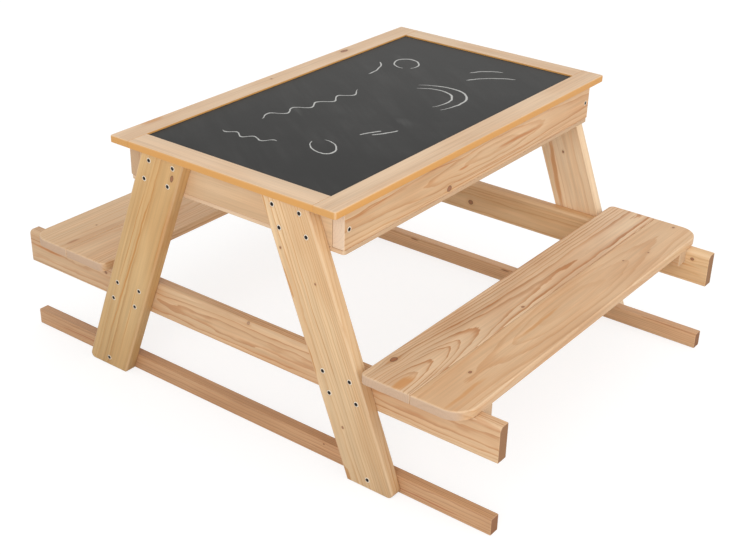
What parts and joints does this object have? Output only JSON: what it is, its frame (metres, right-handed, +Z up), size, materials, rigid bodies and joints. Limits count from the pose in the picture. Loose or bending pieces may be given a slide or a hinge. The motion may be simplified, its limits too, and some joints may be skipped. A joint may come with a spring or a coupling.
{
  "type": "kids picnic table",
  "caption": "Children's pine picnic table with splayed plank legs, benches on cross beams, and a framed chalkboard top that lifts off a shallow storage tray.",
  "frame": {"origin": "on the floor, at the centre of the table's footprint (bottom centre of the bounding box)", "axes": "+X across the table from bench to bench, along the beams (the longest extent); +Y along the table top; +Z up (the shortest extent)"},
  "size_m": [1.108, 0.862, 0.5],
  "materials": {
    "lid_pine": "planed pine, clear, satin",
    "leg_pine": "planed pine, clear, satin",
    "rail_pine": "planed pine, clear, satin",
    "tray_pine": "planed pine, clear, satin",
    "tray_floor_ply": "plain thin board, satin",
    "seat_pine": "planed pine, clear, satin",
    "chalkboard": "matt dark grey chalkboard paint",
    "screw_steel": "dark steel, countersunk cross heads"
  },
  "bodies": {
    "frame": {"ground_rail_far": "rail_pine", "ground_rail_near": "rail_pine", "leg_far_left": "leg_pine", "leg_far_right": "leg_pine", "leg_near_left": "leg_pine", "leg_near_right": "leg_pine", "screw_far_left_1": "screw_steel", "screw_far_left_2": "screw_steel", "screw_far_left_3": "screw_steel", "screw_far_left_4": "screw_steel", "screw_far_left_5": "screw_steel", "screw_far_left_6": "screw_steel", "screw_far_left_7": "screw_steel", "screw_far_left_8": "screw_steel", "screw_far_right_1": "screw_steel", "screw_far_right_2": "screw_steel", "screw_far_right_3": "screw_steel", "screw_far_right_4": "screw_steel", "screw_far_right_5": "screw_steel", "screw_far_right_6": "screw_steel", "screw_far_right_7": "screw_steel", "screw_far_right_8": "screw_steel", "screw_near_left_1": "screw_steel", "screw_near_left_2": "screw_steel", "screw_near_left_3": "screw_steel", "screw_near_left_4": "screw_steel", "screw_near_left_5": "screw_steel", "screw_near_left_6": "screw_steel", "screw_near_left_7": "screw_steel", "screw_near_left_8": "screw_steel", "screw_near_right_1": "screw_steel", "screw_near_right_2": "screw_steel", "screw_near_right_3": "screw_steel", "screw_near_right_4": "screw_steel", "screw_near_right_5": "screw_steel", "screw_near_right_6": "screw_steel", "screw_near_right_7": "screw_steel", "screw_near_right_8": "screw_steel", "seat_batten_far_left": "seat_pine", "seat_batten_far_right": "seat_pine", "seat_batten_near_left": "seat_pine", "seat_batten_near_right": "seat_pine", "seat_beam_far": "rail_pine", "seat_beam_near": "rail_pine", "seat_left_board_inner": "seat_pine", "seat_left_board_outer": "seat_pine", "seat_right_board_inner": "seat_pine", "seat_right_board_outer": "seat_pine", "tray_end_far": "tray_pine", "tray_end_near": "tray_pine", "tray_floor": "tray_floor_ply", "tray_side_left": "tray_pine", "tray_side_right": "tray_pine"},
    "lid": {"chalkboard": "chalkboard", "lid_batten_far": "lid_pine", "lid_batten_near": "lid_pine", "lid_end_rail_far": "lid_pine", "lid_end_rail_near": "lid_pine", "lid_side_rail_left": "lid_pine", "lid_side_rail_right": "lid_pine"}
  },
  "joints": [
    {"name": "lid_lift", "type": "slide", "parent": "frame", "child": "lid", "axis": [0, 0, 1], "range_m": [0, 0.2]}
  ]
}
